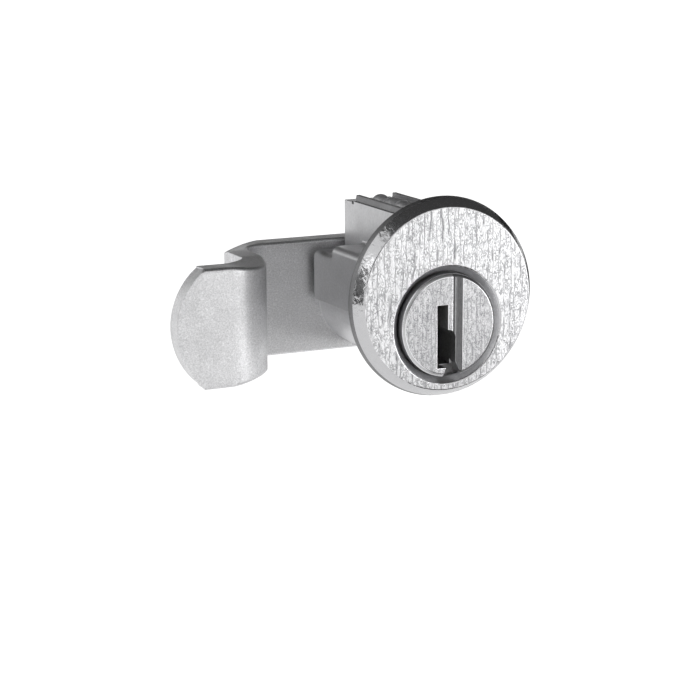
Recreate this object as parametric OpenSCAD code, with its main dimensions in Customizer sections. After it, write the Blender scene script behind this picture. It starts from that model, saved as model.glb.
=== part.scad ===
// Mailbox lock: a round-headed pin tumbler lock with a formed hook cam
// The origin is on the plug's axis at the seat behind the head
// +Y runs into the box, +X to the right seen from outside, +Z up, in millimetres

/* [Head] */
// Diameter of the head
head_d = 22.2; // [21:0.1:26]
// Thickness of the head from its seat to its face
head_t = 2.1; // [1.9:0.1:3.2]
// Depth of the bevel round the face
bevel_depth = 1.2; // [0.6:0.05:1.3]
// Inset of the face's edge from the rim's widest part
bevel_inset = 1; // [0.7:0.05:1.4]
// Draft of the rim, which is narrower at the bevel than at its back edge
rim_draft = 0.2; // [0:0.05:0.3]
// Chamfer at the rim's back edge
rim_chamfer = 0.2; // [0.1:0.05:0.4]
// Height of the head's centre above the plug's axis
head_rise = 2.85; // [2:0.05:3.2]
// Diameter of the ring recess round the plug's face
recess_d = 13.1; // [12.4:0.1:13.6]
// Depth of the ring recess
recess_depth = 1.4; // [0.9:0.1:1.6]

/* [Body] */
// Length of the body behind the seat
body_l = 18.4; // [17.6:0.1:21]
// Diameter of the round barrel
barrel_d = 12; // [11.6:0.1:13]
// Width across the flat wings
wing_w = 13.4; // [13:0.1:14.4]
// Height of the wings' lower edge
wing_low = -0.1; // [-1:0.1:1]
// Height of the wings' shoulder towards the seat
wing_front_top = 6.8; // [6:0.1:7.4]
// Height of the wings' shoulder at the rear
wing_rear_top = 5.6; // [5:0.1:5.9]
// Distance from the seat to the step in the shoulder
wing_step = 13.3; // [9:0.1:15]
// Corner radius of the wings' shoulder
wing_corner = 0.8; // [0.3:0.1:1.2]
// Distance from the seat to the groove for a retaining clip
clip_groove_y = 1.6; // [1:0.1:3]
// Width of the clip groove
clip_groove_w = 1.4; // [0.8:0.1:2]
// Depth of the clip groove in each wing
clip_groove_depth = 1; // [0.5:0.1:1.4]

/* [Pin tower] */
// Width of the tower that holds the driver pins
tower_w = 5.8; // [5.4:0.1:6.4]
// Height of the tower's top
tower_top = 11.05; // [10.8:0.05:11.6]
// Radius of the tower's upright rear corners
tower_corner = 0.4; // [0.2:0.1:1]
// Radius of the tower's upper rear edge
tower_edge = 0.5; // [0.2:0.1:0.8]
// Height of the tower's rear end, which closes the spring cover's channel, above the tower's top
tower_end_h = 0.25; // [0.1:0.05:0.35]
// Radius of the fillet at the tower's foot on each wing
tower_foot = 0.5; // [0.2:0.1:0.8]
// Thickness of the two ribs that are staked over the spring cover
rib_w = 0.6; // [0.4:0.05:0.7]
// Height of the ribs
rib_h = 1.05; // [0.9:0.05:1.2]
// Length of the ribs
rib_l = 15.7; // [14:0.1:17]
// Height of the ledge at the ribs' outer feet
rib_ledge = 0.35; // [0.2:0.05:0.5]
// Inset of the ribs from the tower's sides
rib_inset = 0.25; // [0.1:0.05:0.3]
// Lean of the ribs' outer sides, as they are bent in over the spring cover
rib_lean = 0.1; // [0:0.05:0.3]
// Overhang of the staked lip over the spring cover
rib_lip = 0.25; // [0.15:0.05:0.4]
// Thickness of the staked lip
rib_lip_t = 0.2; // [0.1:0.05:0.3]

/* [Plug] */
// Diameter of the plug's face
plug_face_d = 11.4; // [10.6:0.1:12]
// How far the plug's face stands proud of the head
plug_proud = 0.45; // [0.2:0.05:0.8]
// Width of the chamfered ring round the plug's face
plug_ring_w = 0.35; // [0.2:0.05:0.5]
// Depth of that chamfer
plug_ring_depth = 0.2; // [0.1:0.05:0.4]
// Diameter of the plug's barrel
plug_d = 9.4; // [9:0.1:9.6]
// Length of solid plug behind the keyway
plug_web = 1.6; // [1:0.1:2]

/* [Keyway] */
// Place of the keyway's left wall
key_left = -1.5; // [-1.65:0.05:-1.4]
// Height of the keyway's top
key_top = 2.3; // [2:0.05:2.6]
// Width of the keyway's narrow upper part
key_narrow = 1.3; // [1.1:0.05:1.5]
// Width of the keyway's lower part
key_wide = 2.4; // [2.2:0.05:2.6]
// Height of the rounded ward where the keyway widens
key_ward = -0.45; // [-1:0.05:0]
// Height of the keyway's floor
key_floor = -4.65; // [-4.9:0.05:-4.2]
// Flare of the mouth at the foot of the face
key_flare = 0.6; // [0.3:0.05:0.8]
// Centre of the shallow groove down the plug's face, which ends at its ring
face_groove_x = 1.0; // [0.9:0.05:1.4]
// Width of the shallow groove
face_groove_w = 1.2; // [1:0.05:1.5]
// Depth of the shallow groove
face_groove_depth = 0.35; // [0.2:0.05:0.5]

/* [Pins and springs] */
// Diameter of the key pins and driver pins
pin_d = 2.2; // [2:0.05:2.3]
// Spacing of the pins
pin_pitch = 2.8; // [2.6:0.05:2.9]
// Distance from the seat to the first pin
first_pin_y = 3.3; // [3:0.1:3.4]
// Height of a key pin's tip when it is down
pin_floor = 0; // [-0.3:0.05:0.3]
// Length of the cone at a key pin's tip
pin_tip_l = 0.8; // [0.6:0.05:0.9]
// Radius of the flat at a key pin's tip
pin_tip_r = 0.35; // [0.25:0.05:0.5]
// How far the right key lifts each key pin
key_lift = [0.4, 1.4, 0.9, 1.9, 1.1]; // [0.2:0.1:2]
// Length of the driver pins
driver_l = 3; // [2.6:0.1:3.2]
// Chamfer at the ends of the driver pins
driver_chamfer = 0.2; // [0.1:0.05:0.3]
// Outer diameter of the pin springs
spring_d = 1.9; // [1.7:0.05:2]
// Diameter of the spring wire
spring_wire = 0.32; // [0.25:0.01:0.36]
// Turns in each pin spring
spring_turns = 5; // [4:1:6]
// Width of the gap between the spring cover's edge and each rib
cover_gap = 0.04; // [0.02:0.01:0.08]
// Thickness of the spring cover
cover_t = 0.35; // [0.25:0.05:0.4]
// Radius of the domes pressed in the spring cover
dome_r = 1.15; // [1:0.05:1.3]
// Thickness of the wall behind the head that the spring cover slides up to
cover_stop_t = 0.6; // [0.4:0.1:0.8]
// Length of spring cover behind the last dome
cover_end = 0.5; // [0.3:0.1:0.8]

/* [Stop and stud] */
// Diameter of the stop washer
stop_d = 11.7; // [11.4:0.1:12.6]
// Thickness of the stop washer
stop_t = 0.9; // [0.8:0.05:1.2]
// Depth of the notch in the stop washer's edge
stop_notch = 1; // [0.8:0.05:1.1]
// Width of the body's stop lug, in degrees
lug_span = 24; // [16:1:40]
// Turn of the plug between its stops, in degrees
turn_span = 90; // [80:1:100]
// Diameter of the threaded stud
stud_d = 6; // [5.6:0.1:6.4]
// Width across the stud's two flats
stud_flats = 4.6; // [4.2:0.1:5]
// Length of stud that stands out of the nut
stud_spare = 0.8; // [0.3:0.1:1.5]
// Chamfer at the stud's end
stud_chamfer = 0.5; // [0.3:0.05:0.7]

/* [Hook cam] */
// Width of the strip
cam_w = 13.3; // [12.6:0.1:14]
// Thickness of the strip
cam_t = 2.7; // [2.2:0.1:3]
// Distance from the plug's axis to the outside of the leg
cam_reach = 18.3; // [17.6:0.1:24]
// Offset of the tab in front of the arm
cam_offset = 12.6; // [11:0.1:13.4]
// Inside radius of the bends
cam_bend = 3.2; // [2:0.1:3.4]
// Distance from the outside of the leg to the start of the tab's tip
tab_l = 6.4; // [5.6:0.1:9]
// Radius of the tip's round end
tip_r = 8.4; // [7.6:0.1:10]
// Angle at which the tip leans back
tip_lean = 4.5; // [0:0.5:8]

/* [Nut and washer] */
// Diameter of the lock washer
lock_washer_d = 9.6; // [9:0.1:11]
// Thickness of the lock washer
lock_washer_t = 1; // [0.8:0.1:1.4]
// Gap in the split lock washer
lock_washer_split = 0.8; // [0.5:0.1:1.2]
// Width across the nut's flats
nut_flats = 10; // [9:0.1:11]
// Thickness of the nut
nut_t = 3; // [2.4:0.1:4]
// Angle of the chamfer on the nut's corners
nut_bevel = 30; // [20:1:40]

/* [Fits] */
// Running clearance on the radius of the plug and pins
running = 0.05; // [0.02:0.01:0.08]
// End play of the plug
end_play = 0.05; // [0.03:0.01:0.1]
// Clearance at each end of the stop lug, in degrees
lug_play = 1; // [0.5:0.25:2]

/* [Hidden] */
$fn = 96;
// Overlap that makes cuts run clear of a face
eps = 0.2;

head_r = head_d / 2;
face_y = -head_t;
recess_floor_y = face_y + recess_depth;
plug_face_y = face_y - plug_proud;
flange_back_y = recess_floor_y - end_play;
plug_r = plug_d / 2;
bore_r = plug_r + running;
plug_rear_y = body_l + end_play;
keyway_end_y = plug_rear_y - plug_web;

pin_r = pin_d / 2;
chamber_r = pin_r + running;
// A flat pin end that stays inside or outside the plug's round surface
key_pin_top = sqrt(pow(plug_r, 2) - pow(pin_r, 2)) - running;
driver_foot = bore_r + running;
driver_head = driver_foot + driver_l;
spring_l = tower_top - driver_head;

tower_end_top = tower_top + tower_end_h;
rib_outer = tower_w / 2 - rib_inset;
rib_inner = rib_outer - rib_w;
cover_w = 2 * (rib_inner - cover_gap);
cover_top = tower_top + cover_t;
lip_foot = cover_top + cover_gap;
rib_top = tower_top + rib_h;

cam_front_y = plug_rear_y + stop_t;
cam_back_y = cam_front_y + cam_t;
nut_front_y = cam_back_y + lock_washer_t;
nut_back_y = nut_front_y + nut_t;
stud_end_y = nut_back_y + stud_spare;
cam_outer_bend = cam_bend + cam_t;
tab_front_y = cam_front_y - cam_offset;
tip_x = -cam_reach - tab_l;

steel = [0.72, 0.73, 0.75];
zinc = [0.8, 0.8, 0.82];
brass = [0.78, 0.64, 0.34];

function pin_y(i) = first_pin_y + (i - 1) * pin_pitch;

cover_front_y = cover_stop_t + cover_gap;
cover_end_y = pin_y(5) + dome_r + cover_end;

// Round bar along the plug's axis
module rod(r, y0, y1) {
    translate([0, y0, 0]) rotate([-90, 0, 0]) cylinder(r = r, h = y1 - y0);
}

// Front-view outline carried along the plug's axis
module along(y0, y1) {
    translate([0, y1, 0]) rotate([90, 0, 0]) linear_extrude(y1 - y0) children();
}

// Block from its low and high corners
module block(low, high) {
    translate(low) cube(high - low);
}

// Outline of a stud with two flats
module double_d(clear) {
    intersection() {
        circle(r = stud_d / 2 + clear);
        square([stud_d * 2, stud_flats + 2 * clear], center = true);
    }
}

// Sector of a ring in the front view, from one angle to another
module ring_sector(r0, r1, a0, a1) {
    far = 2 * r1;
    span = a1 - a0;
    intersection() {
        difference() {
            circle(r = r1);
            circle(r = r0);
        }
        polygon(concat([[0, 0]], [for (k = [0 : 4]) far * [cos(a0 + span * k / 4), sin(a0 + span * k / 4)]]));
    }
}

// Half section of the head, with its drafted rim and its bevel
module head_section() {
    polygon([
        [0, 0],
        [head_r - rim_chamfer, 0],
        [head_r, rim_chamfer],
        [head_r - rim_draft, head_t - bevel_depth],
        [head_r - bevel_inset, head_t],
        [0, head_t]
    ]);
}

// Round head
module head() {
    translate([0, 0, head_rise]) rotate([90, 0, 0]) rotate_extrude() head_section();
}

// Front-view outline of the wings, with round shoulders
module wing_outline(top) {
    half = wing_w / 2;
    translate([-half, wing_low]) square([wing_w, top - wing_corner - wing_low]);
    translate([-half + wing_corner, wing_low]) square([wing_w - 2 * wing_corner, top - wing_low]);
    for (side = [-1, 1]) translate([side * (half - wing_corner), top - wing_corner]) circle(r = wing_corner);
}

// Plan of the tower, with round rear corners
module tower_plan() {
    half = tower_w / 2;
    translate([-half, 0]) square([tower_w, body_l - tower_corner]);
    translate([-half + tower_corner, 0]) square([tower_w - 2 * tower_corner, body_l]);
    for (side = [-1, 1]) translate([side * (half - tower_corner), body_l - tower_corner]) circle(r = tower_corner);
}

// Side-view outline of the tower, with its raised rear end and the round upper edge there
module tower_side() {
    end_front_y = cover_end_y + cover_gap;
    square([end_front_y + eps, tower_top]);
    translate([end_front_y, 0]) {
        square([body_l - tower_edge - end_front_y, tower_end_top]);
        square([body_l - end_front_y, tower_end_top - tower_edge]);
    }
    translate([body_l - tower_edge, tower_end_top - tower_edge]) circle(r = tower_edge);
}

// Tower that holds the driver pins
module tower() {
    intersection() {
        linear_extrude(tower_end_top) tower_plan();
        translate([-tower_w, 0, 0]) rotate([90, 0, 90]) linear_extrude(2 * tower_w) tower_side();
    }
}

// Outline of the fillet between the tower's side and a wing's shoulder
module foot_outline(top) {
    translate([tower_w / 2, top]) difference() {
        translate([-eps, -eps]) square(tower_foot + eps);
        translate([tower_foot, tower_foot]) circle(r = tower_foot);
    }
}

// Outline of one rib beside the spring cover, with the lip that is staked over it
module rib_outline() {
    ledge = tower_top + rib_ledge;
    polygon([
        [rib_inner, tower_top - eps],
        [tower_w / 2, tower_top - eps],
        [tower_w / 2, ledge],
        [rib_outer, ledge],
        [rib_outer - rib_lean, rib_top],
        [rib_inner, rib_top],
        [rib_inner, lip_foot + rib_lip_t],
        [rib_inner - rib_lip, lip_foot],
        [rib_inner, lip_foot]
    ]);
}

// Outline of the wall between the ribs at the seat, as high as the domes behind it
module cover_stop_outline() {
    translate([-rib_inner - eps, tower_top - eps]) square([2 * (rib_inner + eps), rib_h + eps]);
    translate([0, tower_top]) circle(r = dome_r + cover_gap);
}

// Bores, recess and grooves of the body
module body_cuts() {
    rod(recess_d / 2, face_y - eps, recess_floor_y);
    rod(bore_r, recess_floor_y - eps, body_l + eps);
    for (i = [1 : 5]) translate([0, pin_y(i), 0]) cylinder(r = chamber_r, h = tower_top + eps);
    for (side = [-1, 1])
        translate([side * wing_w / 2, clip_groove_y + clip_groove_w / 2, wing_low + (wing_front_top - wing_low) / 2])
            cube([2 * clip_groove_depth, clip_groove_w, 2 * wing_w], center = true);
}

module lock_body() {
    color(zinc) difference() {
        union() {
            head();
            rod(barrel_d / 2, -eps, body_l);
            along(-eps, body_l) wing_outline(wing_rear_top);
            along(-eps, wing_step) wing_outline(wing_front_top);
            tower();
            for (side = [0, 1]) mirror([side, 0, 0]) {
                along(-eps, rib_l) rib_outline();
                along(-eps, wing_step) foot_outline(wing_front_top);
                along(-eps, body_l - tower_corner) foot_outline(wing_rear_top);
            }
            along(-eps, cover_stop_t) cover_stop_outline();
            along(body_l - eps, body_l + stop_t)
                ring_sector(stop_d / 2 - stop_notch + running, barrel_d / 2, -lug_span / 2, lug_span / 2);
        }
        body_cuts();
    }
}

// Strip that closes the spring chambers, with a dome pressed over each one
module spring_cover() {
    color(steel) difference() {
        union() {
            block([-cover_w / 2, cover_front_y, tower_top], [cover_w / 2, cover_end_y, cover_top]);
            intersection() {
                for (i = [1 : 5]) translate([0, pin_y(i), tower_top]) sphere(r = dome_r);
                block([-cover_w / 2, cover_front_y, tower_top], [cover_w / 2, cover_end_y, 2 * tower_top]);
            }
        }
        for (i = [1 : 5]) translate([0, pin_y(i), tower_top]) sphere(r = dome_r - cover_t);
    }
}

// Front-view outline of the keyway: a narrow slot that widens to the right below a round ward
module keyway_outline() {
    ward_r = key_wide - key_narrow;
    ward_z = key_ward - ward_r;
    translate([key_left, key_floor]) square([key_narrow, key_top - key_floor]);
    translate([key_left, key_floor]) square([key_wide, ward_z - key_floor]);
    translate([key_left + key_narrow, ward_z]) circle(r = ward_r);
}

// Front-view outline of the flared mouth below the keyway's wide side
module keyway_mouth() {
    top = key_floor + key_flare;
    drop = top + plug_face_d;
    spread = key_flare * drop / (top + plug_face_d / 2);
    translate([key_left + key_narrow, top]) polygon([
        [0, 0],
        [key_wide - key_narrow, 0],
        [key_wide - key_narrow + spread, -drop],
        [-spread, -drop]
    ]);
}

// Drilled chamber for one key pin, with a cone for its tip
module plug_chamber(i) {
    cone_top = pin_floor + pin_tip_l;
    translate([0, pin_y(i), cone_top]) cylinder(r = chamber_r, h = plug_d);
    translate([0, pin_y(i), pin_floor - running])
        cylinder(r1 = pin_tip_r + running, r2 = chamber_r, h = pin_tip_l + running);
}

module plug() {
    flange_l = flange_back_y - plug_face_y;
    groove_r = (pow(face_groove_w / 2, 2) + pow(face_groove_depth, 2)) / (2 * face_groove_depth);
    color(zinc) difference() {
        union() {
            translate([0, flange_back_y, 0]) rotate([90, 0, 0]) rotate_extrude()
                polygon([
                    [0, 0],
                    [plug_face_d / 2, 0],
                    [plug_face_d / 2, flange_l - plug_ring_depth],
                    [plug_face_d / 2 - plug_ring_w, flange_l],
                    [0, flange_l]
                ]);
            rod(plug_r, flange_back_y - eps, plug_rear_y);
            intersection() {
                along(plug_rear_y - eps, stud_end_y) double_d(0);
                translate([0, stud_end_y, 0]) rotate([90, 0, 0]) rotate_extrude()
                    polygon([
                        [0, 0],
                        [stud_d / 2 - stud_chamfer, 0],
                        [stud_d / 2, stud_chamfer],
                        [stud_d / 2, stud_end_y],
                        [0, stud_end_y]
                    ]);
            }
        }
        along(plug_face_y - eps, keyway_end_y) keyway_outline();
        along(plug_face_y - eps, flange_back_y) keyway_mouth();
        intersection() {
            translate([face_groove_x, plug_face_y + face_groove_depth - groove_r, 0])
                cylinder(r = groove_r, h = 2 * plug_face_d, center = true);
            rod(plug_face_d / 2 - plug_ring_w, plug_face_y - eps, flange_back_y);
        }
        for (i = [1 : 5]) plug_chamber(i);
    }
}

// Pin that the key lifts, its top at the plug's surface
module key_pin(i) {
    tip = pin_floor + key_lift[i - 1];
    color(brass) translate([0, pin_y(i), tip]) rotate_extrude()
        polygon([
            [0, 0],
            [pin_tip_r, 0],
            [pin_r, pin_tip_l],
            [pin_r, key_pin_top - tip],
            [0, key_pin_top - tip]
        ]);
}

// Pin that the spring presses against the plug
module driver_pin(i) {
    color(brass) translate([0, pin_y(i), driver_foot]) rotate_extrude()
        polygon([
            [0, 0],
            [pin_r - driver_chamfer, 0],
            [pin_r, driver_chamfer],
            [pin_r, driver_l - driver_chamfer],
            [pin_r - driver_chamfer, driver_l],
            [0, driver_l]
        ]);
}

// Coil between a driver pin and the spring cover
module pin_spring(i) {
    sides = 6;
    steps = 14 * spring_turns;
    wire_r = spring_wire / 2;
    coil_r = (spring_d - spring_wire) / 2;
    rise = spring_l - spring_wire;
    points = [
        for (s = [0 : steps], k = [0 : sides - 1])
            let (turn = 360 * spring_turns * s / steps, around = 360 * k / sides, r = coil_r + wire_r * cos(around))
                [r * cos(turn), r * sin(turn), wire_r + rise * s / steps + wire_r * sin(around)]
    ];
    sleeve = [
        for (s = [0 : steps - 1], k = [0 : sides - 1])
            let (a = s * sides, n = (k + 1) % sides)
                [a + k, a + sides + k, a + sides + n, a + n]
    ];
    caps = [
        [for (k = [0 : sides - 1]) k],
        [for (k = [0 : sides - 1]) steps * sides + sides - 1 - k]
    ];
    color(steel) translate([0, pin_y(i), driver_head]) polyhedron(points, concat(sleeve, caps), convexity = 10);
}

// Washer that turns with the plug and meets the body's lug at both ends of its notch
module stop_washer() {
    color(steel) along(plug_rear_y, cam_front_y) difference() {
        circle(r = stop_d / 2);
        double_d(running);
        ring_sector(
            stop_d / 2 - stop_notch, stop_d,
            -lug_span / 2 - lug_play, lug_span / 2 + turn_span + lug_play
        );
    }
}

// Quarter bend of the strip, from one compass direction to the next
module cam_corner(centre, start) {
    translate([centre[0], centre[1], -cam_w / 2]) rotate([0, 0, start]) rotate_extrude(angle = 90)
        translate([cam_bend, 0]) square([cam_t, cam_w]);
}

// Round tip of the tab, hinged back a little about its front edge
module tab_tip() {
    chord_x = sqrt(pow(tip_r, 2) - pow(cam_w / 2, 2));
    translate([tip_x, tab_front_y, 0]) rotate([0, 0, -tip_lean]) along(0, cam_t) intersection() {
        translate([chord_x, 0]) circle(r = tip_r);
        translate([-tip_r, -cam_w / 2]) square([tip_r, cam_w]);
    }
}

module hook_cam() {
    half = cam_w / 2;
    arm_end_x = cam_outer_bend - cam_reach;
    leg_rear_y = cam_back_y - cam_outer_bend;
    leg_front_y = tab_front_y + cam_outer_bend;
    leg_x = -cam_reach;
    tab_start_x = leg_x - cam_bend;
    color(steel) {
        difference() {
            union() {
                rod(half, cam_front_y, cam_back_y);
                block([arm_end_x, cam_front_y, -half], [0, cam_back_y, half]);
            }
            along(cam_front_y - eps, cam_back_y + eps) double_d(running);
        }
        cam_corner([arm_end_x, leg_rear_y], 90);
        block([leg_x, leg_front_y, -half], [leg_x + cam_t, leg_rear_y, half]);
        cam_corner([tab_start_x, leg_front_y], -90);
        block([tip_x, tab_front_y, -half], [tab_start_x, tab_front_y + cam_t, half]);
        tab_tip();
    }
}

// Split spring washer under the nut
module lock_washer() {
    color(steel) along(cam_back_y, nut_front_y) difference() {
        circle(d = lock_washer_d);
        circle(d = stud_d + 2 * running);
        translate([0, -lock_washer_split / 2]) square([lock_washer_d, lock_washer_split]);
    }
}

// Six-sided nut with bevelled corners
module cam_nut() {
    corner_r = nut_flats / sqrt(3);
    bevel_l = (corner_r - nut_flats / 2) * tan(nut_bevel);
    color(steel) difference() {
        intersection() {
            along(nut_front_y, nut_back_y) circle(r = corner_r, $fn = 6);
            translate([0, nut_back_y, 0]) rotate([90, 0, 0]) rotate_extrude()
                polygon([
                    [0, 0],
                    [nut_flats / 2, 0],
                    [corner_r + eps, bevel_l + eps * tan(nut_bevel)],
                    [corner_r + eps, nut_t],
                    [0, nut_t]
                ]);
        }
        rod(stud_d / 2 + running, nut_front_y - eps, nut_back_y + eps);
    }
}

lock_body();
spring_cover();
plug();
for (i = [1 : 5]) {
    key_pin(i);
    driver_pin(i);
    pin_spring(i);
}
stop_washer();
hook_cam();
lock_washer();
cam_nut();
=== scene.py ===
"""Dresses a mailbox lock: softened edges, brushed and plated metal, a threaded stud and a plain studio."""

import math

import bmesh
import bpy
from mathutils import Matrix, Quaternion, Vector


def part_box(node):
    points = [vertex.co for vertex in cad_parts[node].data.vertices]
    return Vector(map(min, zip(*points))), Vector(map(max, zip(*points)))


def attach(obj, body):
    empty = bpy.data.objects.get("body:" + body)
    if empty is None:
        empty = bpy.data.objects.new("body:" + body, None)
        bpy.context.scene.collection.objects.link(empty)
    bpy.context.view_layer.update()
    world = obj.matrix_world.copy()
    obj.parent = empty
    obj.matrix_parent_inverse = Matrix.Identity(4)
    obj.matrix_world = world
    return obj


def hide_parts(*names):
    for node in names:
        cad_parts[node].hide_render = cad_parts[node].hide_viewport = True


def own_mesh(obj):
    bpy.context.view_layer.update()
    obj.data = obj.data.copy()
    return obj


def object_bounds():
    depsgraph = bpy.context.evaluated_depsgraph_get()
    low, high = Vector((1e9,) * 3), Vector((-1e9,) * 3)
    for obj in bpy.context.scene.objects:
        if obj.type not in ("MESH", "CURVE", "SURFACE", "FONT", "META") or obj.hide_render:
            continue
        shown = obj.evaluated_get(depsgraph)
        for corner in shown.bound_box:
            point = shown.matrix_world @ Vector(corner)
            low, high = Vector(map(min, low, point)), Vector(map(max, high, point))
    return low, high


bl_info = {
    "name": "Mailbox lock",
    "version": (1, 0, 0),
    "blender": (4, 5, 0),
    "location": "View3D > Sidebar > Mailbox lock",
    "description": "Finishes the pieces of a mailbox lock and sets up its studio",
    "category": "Object",
}

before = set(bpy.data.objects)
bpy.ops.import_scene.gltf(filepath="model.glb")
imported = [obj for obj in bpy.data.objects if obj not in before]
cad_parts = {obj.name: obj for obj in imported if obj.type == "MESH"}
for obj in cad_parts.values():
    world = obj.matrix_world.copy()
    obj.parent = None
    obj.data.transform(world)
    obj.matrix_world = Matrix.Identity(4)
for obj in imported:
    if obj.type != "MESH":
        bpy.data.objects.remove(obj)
CAD_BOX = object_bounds()

MM = 0.001
COLOUR = {"size": 3, "subtype": "COLOR", "min": 0, "max": 1}
PIN_NUMBERS = range(1, 6)

# Places that follow from the frame
BODY_LOW, BODY_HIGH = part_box("lock_body")
PLUG_LOW, PLUG_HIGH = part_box("plug")
CAM_LOW, CAM_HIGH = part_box("hook_cam")
COVER_LOW, COVER_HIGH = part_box("spring_cover")
HEAD_R = BODY_HIGH.x
HEAD_RISE = BODY_HIGH.z - HEAD_R
FACE_Y = BODY_LOW.y
PLUG_FACE_Y = PLUG_LOW.y
PLUG_FACE_R = PLUG_HIGH.x
PLUG_REAR_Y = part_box("stop_washer")[0].y
STUD_START_Y = PLUG_REAR_Y - 0.3 * MM
STUD_END_Y = PLUG_HIGH.y
NUT_FRONT_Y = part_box("cam_nut")[0].y

# How near counts as touching, on a surface and at a cut
SEAM_TOUCH = 0.02 * MM
CUT_TOUCH = 0.001 * MM

# Sizes that tell the edges and faces of the lock apart
RIM_MARGIN = 0.1 * MM
BORE_MARGIN = 0.3 * MM
STUD_MARGIN = 0.5 * MM
RECESS_GAP = 0.85 * MM
CHAMBER_HALF = 1.3 * MM

# Angles below which faces are joined into one, and above which the nut's edges stay sharp
FLAT_ANGLE = math.radians(0.45)
FASTENER_CREASE = math.radians(20)

# The thread's ridge: foot as a share of the pitch, crest as a share of the foot, depth in the stud
THREAD_FOOT = 0.9
THREAD_CREST = 0.16
THREAD_SUNK = 0.15 * MM
THREAD_STEPS = 48

# The cam's bends: cuts in a quarter turn, their tolerance, and how the strip swells inside the bend
BEND_CUTS = 12
BEND_TOUCH = 0.1 * MM
BEND_SLACK = 0.01
BEND_SWELL = 0.2
BEND_LEAN = 1.2

# White surroundings: light that they give, the floor's shade and its glow in the picture and in metal
WORLD_LIGHT = 0.6
FLOOR_SHADE = 0.8
FLOOR_IN_VIEW = 0.7
FLOOR_IN_METAL = 0.5

# Soft lamps: place, width and height in metres
KEY_LAMP = ((-0.65, -0.12, 0.22), 0.3, 0.3)
FILL_LAMP = ((0.247, -0.222, -0.022), 0.12, 0.1)

# Cards that the metal mirrors: spans along X, Y and Z in metres
DIM_CARDS = {
    "overhead_card": ((-0.22, 1.0), (-0.45, 0.35), (0.35, 0.35)),
    "rear_overhead_card": ((-0.9, 1.2), (0.35, 1.05), (0.35, 0.35)),
}
DARK_CARDS = {
    "right_card": ((1.2, 1.2), (0.3, 1.4), (0.02, 0.35)),
    "front_card": ((-0.25, 0.03), (-0.34, -0.34), (0.015, 0.15)),
    "left_card": ((-0.25, -0.25), (-0.09, 0.06), (-0.03, 0.115)),
    "under_card": ((0.003, 0.034), (-0.025, -0.025), (-0.06, -0.016)),
    "right_floor_card": ((0.25, 0.9), (0.2, 0.9), (-0.077, -0.077)),
}


class LockCamera(bpy.types.PropertyGroup):
    """Where the camera stands"""

    azimuth: bpy.props.FloatProperty(
        name="Azimuth", description="Turn of the camera round the lock, from straight in front",
        default=math.radians(-25.17), subtype="ANGLE",
    )
    elevation: bpy.props.FloatProperty(
        name="Elevation", description="Height of the camera above the horizon",
        default=math.radians(12.58), subtype="ANGLE",
    )
    roll: bpy.props.FloatProperty(
        name="Roll", description="Turn of the camera about its own axis",
        default=math.radians(-0.231), subtype="ANGLE",
    )
    distance: bpy.props.FloatProperty(
        name="Distance", description="Distance from the camera to the point it looks at",
        default=223.955 * MM, unit="LENGTH",
    )
    target: bpy.props.FloatVectorProperty(
        name="Target", description="Point that the camera looks at",
        default=(-9.931 * MM, 1.826 * MM, -2.6 * MM), subtype="TRANSLATION",
    )
    lens: bpy.props.FloatProperty(
        name="Lens", description="Focal length in millimetres on a 36 mm sensor", default=105.98,
    )


class LockFinish(bpy.types.PropertyGroup):
    """Colours and sizes of the metal finishes"""

    face_light: bpy.props.FloatVectorProperty(
        name="Face", description="Bright metal between the brush lines of the head's face",
        default=(0.88, 0.88, 0.89), **COLOUR,
    )
    face_dark: bpy.props.FloatVectorProperty(
        name="Brush lines", description="Metal in the brush lines of the head's face",
        default=(0.14, 0.14, 0.15), **COLOUR,
    )
    zinc: bpy.props.FloatVectorProperty(
        name="Plated zinc", description="Smooth plating of the bevel, the recess wall and the plug's rim",
        default=(0.56, 0.56, 0.57), **COLOUR,
    )
    casting: bpy.props.FloatVectorProperty(
        name="Casting", description="Duller metal of the body, the barrel and the spring cover",
        default=(0.58, 0.58, 0.59), **COLOUR,
    )
    strip: bpy.props.FloatVectorProperty(
        name="Plated strip", description="Matte plated steel of the hook cam, washers and nut",
        default=(0.76, 0.76, 0.77), **COLOUR,
    )
    steel: bpy.props.FloatVectorProperty(
        name="Spring steel", description="Plain steel of the pin springs",
        default=(0.42, 0.42, 0.43), **COLOUR,
    )
    brass: bpy.props.FloatVectorProperty(
        name="Pin brass", description="Brass of the pins",
        default=(0.72, 0.6, 0.36), **COLOUR,
    )
    # Keyway metal dulled by lubricant; the recess floor takes a third of this tone as painted shade
    grease_and_floor_shade: bpy.props.FloatVectorProperty(
        name="Keyway", description="Metal of the keyway, dulled by lubricant, and a third of it as painted shade on the recess floor",
        default=(0.6, 0.6, 0.6), **COLOUR,
    )
    face_spacing: bpy.props.FloatProperty(
        name="Face brush spacing", description="Distance between the brush lines of the head's face",
        default=0.7 * MM, unit="LENGTH",
    )
    face_curl: bpy.props.FloatProperty(
        name="Face curls", description="Size of the curled marks on the head's face",
        default=0.32 * MM, unit="LENGTH",
    )
    plug_spacing: bpy.props.FloatProperty(
        name="Plug brush spacing", description="Distance between the brush lines of the plug's face",
        default=0.55 * MM, unit="LENGTH",
    )
    plug_curl: bpy.props.FloatProperty(
        name="Plug curls", description="Size of the curled marks on the plug's face",
        default=0.2 * MM, unit="LENGTH",
    )
    grain: bpy.props.FloatProperty(
        name="Grain", description="Size of the grains in the matte plating",
        default=0.16 * MM, unit="LENGTH",
    )


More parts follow.
